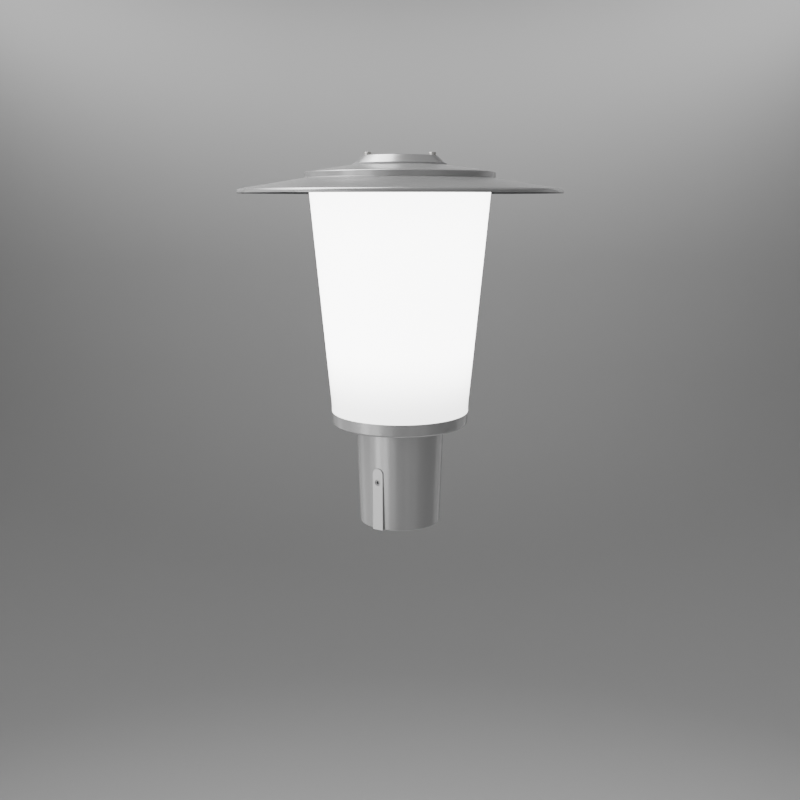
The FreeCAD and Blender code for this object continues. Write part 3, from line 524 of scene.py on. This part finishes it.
def clamp_pad(sizes):
    """Pad with a round top, standing on z = 0, its flat and rounded face towards -Y."""
    half = sizes.pad_width / 2
    bm = bmesh.new()
    bmesh.ops.create_circle(bm, cap_ends=True, segments=SMALL_STEPS, radius=half)
    bmesh.ops.bisect_plane(bm, geom=bm.verts[:] + bm.edges[:] + bm.faces[:], plane_co=(0, 0, 0),
                           plane_no=(0, -1, 0), clear_outer=True, dist=TINY)
    chord = [edge for edge in bm.edges if all(abs(vertex.co.y) < TINY for vertex in edge.verts)]
    pulled(bm, chord, lambda point: point - Vector((0, sizes.pad_arch - sizes.pad_foot, 0)))
    bmesh.ops.dissolve_edges(bm, edges=chord)
    bmesh.ops.recalc_face_normals(bm, faces=bm.faces[:])
    made = bmesh.ops.extrude_face_region(bm, geom=bm.faces[:])["geom"]
    verts = [item for item in made if isinstance(item, bmesh.types.BMVert)]
    face = [item for item in made if isinstance(item, bmesh.types.BMFace)]
    bmesh.ops.translate(bm, verts=verts, vec=(0, 0, sizes.pad_face - sizes.pad_root - sizes.pad_edge))
    for index in range(EDGE_SEGMENTS):
        turns = [math.pi / 2 * step / EDGE_SEGMENTS for step in (index, index + 1)]
        inward = sizes.pad_edge * (math.cos(turns[0]) - math.cos(turns[1]))
        outward = sizes.pad_edge * (math.sin(turns[1]) - math.sin(turns[0]))
        bmesh.ops.inset_region(bm, faces=face, thickness=inward, depth=outward, use_even_offset=True,
                               use_boundary=True)
    bmesh.ops.recalc_face_normals(bm, faces=bm.faces[:])
    stand = Matrix.Translation((0, -sizes.pad_root, sizes.pad_arch)) @ Matrix.Rotation(math.pi / 2, 4, "X")
    bmesh.ops.transform(bm, matrix=stand, verts=bm.verts[:])
    return bm


def loose_object(bm):
    """Object that holds a mesh for a while."""
    mesh = bpy.data.meshes.new("loose")
    bm.to_mesh(mesh)
    bm.free()
    made = bpy.data.objects.new("loose", mesh)
    bpy.context.scene.collection.objects.link(made)
    return made


def drilled(bm, drill):
    """The mesh with the drill's volume taken out."""
    target, tool = loose_object(bm), loose_object(drill)
    cut = target.modifiers.new("Drill", "BOOLEAN")
    cut.object = tool
    cut.solver = "EXACT"
    result = bmesh.new()
    result.from_object(target, bpy.context.evaluated_depsgraph_get())
    for part in (target, tool):
        mesh = part.data
        bpy.data.objects.remove(part)
        bpy.data.meshes.remove(mesh)
    return result


def joined(parts):
    """Several meshes as one, each moved by its matrix."""
    whole = bmesh.new()
    for bm, matrix in parts:
        bmesh.ops.transform(bm, matrix=matrix, verts=bm.verts[:])
        mesh = bpy.data.meshes.new("part")
        bm.to_mesh(mesh)
        bm.free()
        whole.from_mesh(mesh)
        bpy.data.meshes.remove(mesh)
    return whole


def make_piece(bm, name, finish, slot, *nodes):
    """Put a mesh on the lamp as one smooth piece that stands for its nodes."""
    mesh = bpy.data.meshes.new(name)
    bm.to_mesh(mesh)
    bm.free()
    mesh.shade_smooth()
    mesh.set_sharp_from_angle(angle=SHARP_ANGLE)
    mesh.materials.append(finish)
    piece = bpy.data.objects.new(name, mesh)
    bpy.context.scene.collection.objects.link(piece)
    even = piece.modifiers.new("Even shading", "WEIGHTED_NORMAL")
    even.keep_sharp = True
    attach(piece, BODY)
    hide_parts(*nodes)
    return piece


def shared(make, name, *values):
    """The finish of that name, made by its function when it is first asked for."""
    found = bpy.data.materials.get(name)
    return found or make(name, *values)


def paint(context):
    """Silver-grey coat that the castings, the canopy and the cap share."""
    return shared(powder_coat, "silver_powder_coat", context.scene.lamp_colours.paint)


def black_steel(context):
    """Blackened steel of the set screws."""
    return shared(turned_metal, "blackened_steel", context.scene.lamp_colours.black_steel, 0.35)


def steel(context):
    """Stainless steel that all other screws share."""
    return shared(turned_metal, "stainless_steel", context.scene.lamp_colours.steel, 0.22)


# Pieces

class LAMP_OT_socket(Operator):
    """Cast socket: flared cone, bore, inner flange and two drilled clamp pads"""
    bl_idname = "street_light.socket"
    bl_label = "Pole socket"

    def execute(self, context):
        sizes = context.scene.lamp_socket
        cone = turned([
            (sizes.bore_radius + sizes.lead_in, 0.0),
            (sizes.mouth_radius, 0.0, sizes.mouth_edge),
            (sizes.top_radius, sizes.height),
            (sizes.cable_radius, sizes.height),
            (sizes.cable_radius, sizes.bore_depth),
            (sizes.bore_radius, sizes.bore_depth),
            (sizes.bore_radius, sizes.lead_in),
        ])
        parts = [(drilled(cone, self.drill(sizes)), Matrix.Identity(4))]
        for turn in (0.0, math.pi):
            pad = drilled(clamp_pad(sizes), self.drill(sizes))
            parts.append((pad, Matrix.Rotation(turn, 4, "Z")))
        whole = joined(parts)
        bmesh.ops.rotate(whole, verts=whole.verts[:], matrix=Matrix.Rotation(-sizes.pad_turn, 3, "Z"))
        make_piece(whole, "socket_casting", paint(context), "silver_paint", "pole_socket")
        return {"FINISHED"}

    def drill(self, sizes):
        """Rod through both clamp holes, twice as long as their faces are apart."""
        bm = bmesh.new()
        lie = Matrix.Translation((0, 0, sizes.screw_height)) @ Matrix.Rotation(math.pi / 2, 4, "X")
        bmesh.ops.create_cone(bm, cap_ends=True, segments=SMALL_STEPS, radius1=sizes.hole_radius,
                              radius2=sizes.hole_radius, depth=4 * sizes.pad_face, matrix=lie)
        return bm


class LAMP_OT_clamp_screws(Operator):
    """Two set screws with hexagon sockets in the clamp pads"""
    bl_idname = "street_light.clamp_screws"
    bl_label = "Clamp screws"

    def execute(self, context):
        sizes = context.scene.lamp_socket
        end = sizes.pad_face - sizes.screw_recess
        parts = []
        for turn in (-sizes.pad_turn, math.pi - sizes.pad_turn):
            screw = keyed_rod(sizes.screw_radius, 0.0, sizes.screw_edge, sizes.screw_radius,
                              sizes.bore_radius - end, sizes.key, sizes.key_depth)
            lie = (Matrix.Rotation(turn, 4, "Z") @ Matrix.Translation((0, -end, sizes.screw_height))
                   @ Matrix.Rotation(math.pi / 2, 4, "X"))
            parts.append((screw, lie))
        make_piece(joined(parts), "clamp_set_screws", black_steel(context), "black_steel", "clamp_screws")
        return {"FINISHED"}


class LAMP_OT_ring(Operator):
    """Gallery ring with its rounded lower edge, gasket groove, collar, turret and bosses"""
    bl_idname = "street_light.ring"
    bl_label = "Gallery ring"

    def execute(self, context):
        sizes = context.scene.lamp_ring
        ring = turned([
            (sizes.low_radius, 0.0, sizes.low_edge),
            (sizes.top_radius, sizes.height, sizes.top_edge),
            (sizes.groove_high, sizes.height),
            (sizes.groove_high, sizes.height - sizes.groove_depth),
            (sizes.groove_low, sizes.height - sizes.groove_depth),
            (sizes.groove_low, sizes.height),
            (sizes.spigot_radius, sizes.height),
            (sizes.spigot_radius, sizes.height + sizes.spigot_height),
            (sizes.well_radius, sizes.height + sizes.spigot_height),
            (sizes.well_radius, sizes.floor),
            (sizes.turret_radius, sizes.floor),
            (sizes.turret_radius, sizes.turret_height),
            (sizes.gland_hole, sizes.turret_height),
            (sizes.gland_hole, sizes.turret_height - sizes.turret_wall),
            (sizes.turret_radius - sizes.turret_wall, sizes.turret_height - sizes.turret_wall),
            (sizes.turret_radius - sizes.turret_wall, 0.0),
        ])
        parts = [(ring, Matrix.Translation((0, 0, sizes.foot)))]
        for quarter in range(4):
            boss = bmesh.new()
            bmesh.ops.create_cone(boss, cap_ends=True, segments=SMALL_STEPS, radius1=sizes.boss_radius,
                                  radius2=sizes.boss_radius, depth=sizes.boss_height)
            turn = Matrix.Rotation(math.pi / 4 + quarter * math.pi / 2, 4, "Z")
            lift = sizes.foot + sizes.floor + sizes.boss_height / 2
            parts.append((boss, turn @ Matrix.Translation((sizes.boss_pitch, 0, lift))))
        make_piece(joined(parts), "gallery_ring", paint(context), "silver_paint", "base_ring")
        return {"FINISHED"}


class LAMP_OT_diffuser(Operator):
    """Opal cone with a short straight collar at its foot"""
    bl_idname = "street_light.diffuser"
    bl_label = "Opal diffuser"

    def execute(self, context):
        sizes = context.scene.lamp_diffuser
        collar = sizes.foot + sizes.collar_height
        cone = turned([
            (sizes.collar_radius, sizes.foot, sizes.edge),
            (sizes.collar_radius, collar, sizes.shoulder),
            (sizes.top_radius, sizes.top, sizes.edge),
            (sizes.top_radius - sizes.wall, sizes.top),
            (sizes.collar_radius - sizes.wall, collar),
            (sizes.collar_radius - sizes.wall, sizes.foot),
        ])
        finish = opal_acrylic(context.scene.lamp_colours, sizes)
        make_piece(cone, "opal_cone", finish, "opal", "diffuser")
        return {"FINISHED"}


class LAMP_OT_canopy(Operator):
    """Spun canopy with its lip, brim, upright step, crown and flat seat"""
    bl_idname = "street_light.canopy"
    bl_label = "Spun canopy"

    def execute(self, context):
        sizes = context.scene.lamp_canopy
        brim_foot = sizes.foot + sizes.lip
        step_foot = brim_foot + sizes.brim_rise
        step_top = step_foot + sizes.step_height
        brim_slope = sizes.brim_rise / (sizes.radius - sizes.step_radius)
        crown_slope = (sizes.top - step_top) / (sizes.step_radius - sizes.seat_radius)
        sheet = sizes.sheet
        canopy = turned([
            (sizes.radius, sizes.foot, sizes.lip_edge),
            (sizes.radius, brim_foot, sizes.brim_edge),
            (sizes.step_radius, step_foot, sizes.step_foot_edge),
            (sizes.step_radius, step_top, sizes.step_edge),
            (sizes.seat_radius, sizes.top),
            (sizes.hole_radius, sizes.top),
            (sizes.hole_radius, sizes.top - sheet),
            (sizes.seat_radius, sizes.top - sheet),
            (sizes.step_radius - sheet, step_top + (crown_slope - 1) * sheet, sizes.step_edge),
            (sizes.step_radius - sheet, step_foot + (brim_slope - 1) * sheet, sizes.step_edge),
            (sizes.radius - sheet, brim_foot + (brim_slope - 1) * sheet, sizes.lip_edge),
            (sizes.radius - sheet, sizes.foot, sizes.lip_edge),
        ])
        # Faces that lean down or towards the axis take the painted shade: a dark coat that stands in for the
        # shade under the canopy
        for face in canopy.faces:
            outwards = (face.calc_center_median() * Vector((1, 1, 0))).normalized()
            if min(face.normal.z, face.normal.dot(outwards)) < UNDERSIDE:
                face.material_index = 1
        piece = make_piece(canopy, "spun_canopy", paint(context), "silver_paint", "canopy")
        piece.data.materials.append(painted_underside_shade(context.scene.lamp_colours))
        return {"FINISHED"}


class LAMP_OT_cap(Operator):
    """Turned cap with a sloping flank"""
    bl_idname = "street_light.cap"
    bl_label = "Cap"

    def execute(self, context):
        sizes = context.scene.lamp_cap
        cap = turned([
            (sizes.recess_radius, sizes.foot),
            (sizes.base_radius, sizes.foot, sizes.base_rounding),
            (sizes.base_radius, sizes.foot + sizes.base_edge, sizes.base_rounding),
            (sizes.top_radius, sizes.top, sizes.edge),
            (0.0, sizes.top),
            (0.0, sizes.foot + sizes.recess_depth),
            (sizes.recess_radius, sizes.foot + sizes.recess_depth),
        ])
        make_piece(cap, "turned_cap", paint(context), "silver_paint", "cap")
        return {"FINISHED"}


class LAMP_OT_cap_screws(Operator):
    """Two round-headed screws on the cap"""
    bl_idname = "street_light.cap_screws"
    bl_label = "Cap screws"

    def execute(self, context):
        sizes = context.scene.lamp_cap
        parts = []
        for side in (-1, 1):
            screw = keyed_rod(sizes.head_radius, sizes.head_height, sizes.head_edge, sizes.shank_radius,
                              sizes.shank_end - sizes.top, sizes.key, sizes.key_depth)
            parts.append((screw, Matrix.Translation((side * sizes.screw_pitch, 0, sizes.top))))
        make_piece(joined(parts), "cap_screw_pair", steel(context), "bright_steel", "cap_screws")
        return {"FINISHED"}


class LAMP_OT_inside(Operator):
    """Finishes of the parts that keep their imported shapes, nearly all of them inside"""
    bl_idname = "street_light.inside"
    bl_label = "Inner parts"

    def execute(self, context):
        colours = context.scene.lamp_colours
        finishes = {
            "bright_steel": steel(context),
            "zinc_sheet": drawn_metal("zinc_plate", colours.zinc, 0.3),
            "raw_aluminium": drawn_metal("bare_aluminium", colours.aluminium, 0.28),
            "seal_rubber": moulded("black_rubber", colours.rubber, 0.6),
            "grey_rubber": moulded("pale_rubber", colours.grey_rubber, 0.6),
            "gland_nylon": moulded("grey_nylon", colours.nylon, 0.45),
            "board_white": moulded("solder_mask", colours.board, 0.35),
            "led_phosphor": led_package("phosphor", colours.phosphor),
            "driver_case": moulded("white_moulding", colours.driver, 0.45),
            "terminal_plastic": moulded("dark_moulding", colours.terminal, 0.5),
            "surge_plastic": moulded("blue_epoxy", colours.surge, 0.3),
            "earth_brass": turned_metal("plain_brass", colours.brass, 0.25),
        }
        for part in frame["record"]["subparts"]:
            node = frame["nodes"][part["node"]]
            if not node.hide_render:
                node.data.materials.clear()
                node.data.materials.append(finishes[part["material_slot"]])
        return {"FINISHED"}


class LAMP_OT_stage(Operator):
    """Camera, round pale room and soft lights"""
    bl_idname = "street_light.stage"
    bl_label = "Camera, room and lights"

    def execute(self, context):
        sizes = context.scene.lamp_stage
        self.add_camera(context, sizes)
        self.add_room(context, sizes)
        aim = Vector((0, 0, sizes.light_aim))
        for kind, (width, height, distance, spread, elevation, watts) in SOFT_LIGHTS.items():
            rise = math.radians(elevation)
            for azimuth, power in watts.items():
                turn = math.radians(azimuth)
                way = Vector((math.sin(turn) * math.cos(rise), -math.cos(turn) * math.cos(rise),
                              math.sin(rise)))
                self.add_light(f"{kind}_{azimuth % 360}", power, (width, height), math.radians(spread),
                               aim + way * distance, aim)
        wall = sizes.room_radius
        self.add_light("wall_wash", sizes.wash_power, (sizes.wash_length, sizes.wash_width),
                       sizes.wash_spread, Vector((0, wall - sizes.wash_gap, sizes.wash_height)),
                       Vector((0, wall, sizes.wash_aim)))
        floor = -sizes.room_floor
        self.add_light("floor_wash", sizes.floor_power, (sizes.floor_side, sizes.floor_side), math.pi,
                       Vector((0, 0, floor + sizes.floor_gap)), Vector((0, 0, floor)))
        return {"FINISHED"}

    def add_camera(self, context, sizes):
        """Camera on the -Y side that looks a little down."""
        camera = bpy.data.objects.new("camera", bpy.data.cameras.new("camera"))
        context.scene.collection.objects.link(camera)
        camera.data.sensor_width = sizes.sensor
        camera.data.lens = sizes.lens
        camera.location = (0, -sizes.camera_back, sizes.camera_height)
        camera.rotation_euler = (math.pi / 2 - sizes.camera_dip, 0, 0)
        context.scene.camera = camera

    def add_room(self, context, sizes):
        """Round floor that sweeps up into a wall, open to a soft sky."""
        bm = bmesh.new()
        floor = -sizes.room_floor
        points = [(0, floor), (sizes.room_radius, floor), (sizes.room_radius, sizes.room_height)]
        verts = [bm.verts.new((x, 0, z)) for x, z in points]
        for pair in zip(verts, verts[1:]):
            bm.edges.new(pair)
        bmesh.ops.spin(bm, geom=bm.verts[:] + bm.edges[:], cent=(0, 0, 0), axis=(0, 0, 1),
                       angle=2 * math.pi, steps=SMALL_STEPS, use_merge=True)
        bmesh.ops.remove_doubles(bm, verts=bm.verts[:], dist=TINY)
        corner = [edge for edge in bm.edges if edge.calc_face_angle(0.0) > STEEP_FOLD]
        bmesh.ops.bevel(bm, geom=corner, offset=sizes.room_corner, segments=CORNER_SEGMENTS, profile=0.5,
                        affect="EDGES", material=-1)
        mesh = bpy.data.meshes.new("room")
        bm.to_mesh(mesh)
        bm.free()
        mesh.shade_smooth()
        finish = Finish("room_paint")
        mesh.materials.append(finish.close({"Base Color": (*sizes.room, 1.0), "Roughness": 0.9}))
        room = bpy.data.objects.new("room", mesh)
        context.scene.collection.objects.link(room)
        world = bpy.data.worlds.new("sky")
        world.use_nodes = True
        sky = world.node_tree.nodes["Background"]
        sky.inputs["Color"].default_value = (*sizes.sky, 1.0)
        sky.inputs["Strength"].default_value = sizes.sky_strength
        context.scene.world = world

    def add_light(self, name, watts, size, spread, place, aim):
        """Soft rectangle that faces a point and that the camera doesn't see."""
        light = bpy.data.lights.new(name, "AREA")
        light.shape = "RECTANGLE"
        light.size, light.size_y = size
        light.spread = spread
        light.energy = watts
        lamp = bpy.data.objects.new(name, light)
        bpy.context.scene.collection.objects.link(lamp)
        lamp.location = place
        lamp.rotation_euler = (aim - place).to_track_quat("-Z", "Y").to_euler()
        lamp.visible_camera = False


class LAMP_PT_panel(Panel):
    """Pieces of the street light head"""
    bl_idname = "LAMP_PT_panel"
    bl_label = "Street light head"
    bl_space_type = "VIEW_3D"
    bl_region_type = "UI"
    bl_category = "Street light"

    def draw(self, context):
        for operator in OPERATORS:
            self.layout.operator(operator.bl_idname)


OPERATORS = (LAMP_OT_socket, LAMP_OT_clamp_screws, LAMP_OT_ring, LAMP_OT_diffuser, LAMP_OT_canopy,
             LAMP_OT_cap, LAMP_OT_cap_screws, LAMP_OT_inside, LAMP_OT_stage)
GROUPS = {
    "lamp_socket": SocketSizes,
    "lamp_ring": RingSizes,
    "lamp_diffuser": DiffuserSizes,
    "lamp_canopy": CanopySizes,
    "lamp_cap": CapSizes,
    "lamp_colours": FinishColours,
    "lamp_stage": StageSizes,
}


def register():
    for name, group in GROUPS.items():
        bpy.utils.register_class(group)
        setattr(bpy.types.Scene, name, PointerProperty(type=group))
    for cls in (*OPERATORS, LAMP_PT_panel):
        bpy.utils.register_class(cls)


def unregister():
    for cls in (*OPERATORS, LAMP_PT_panel):
        bpy.utils.unregister_class(cls)
    for name, group in GROUPS.items():
        delattr(bpy.types.Scene, name)
        bpy.utils.unregister_class(group)


def main():
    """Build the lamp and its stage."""
    register()
    bpy.ops.street_light.socket()
    bpy.ops.street_light.clamp_screws()
    bpy.ops.street_light.ring()
    bpy.ops.street_light.diffuser()
    bpy.ops.street_light.canopy()
    bpy.ops.street_light.cap()
    bpy.ops.street_light.cap_screws()
    bpy.ops.street_light.inside()
    bpy.ops.street_light.stage()


if __name__ == "__main__":
    main()
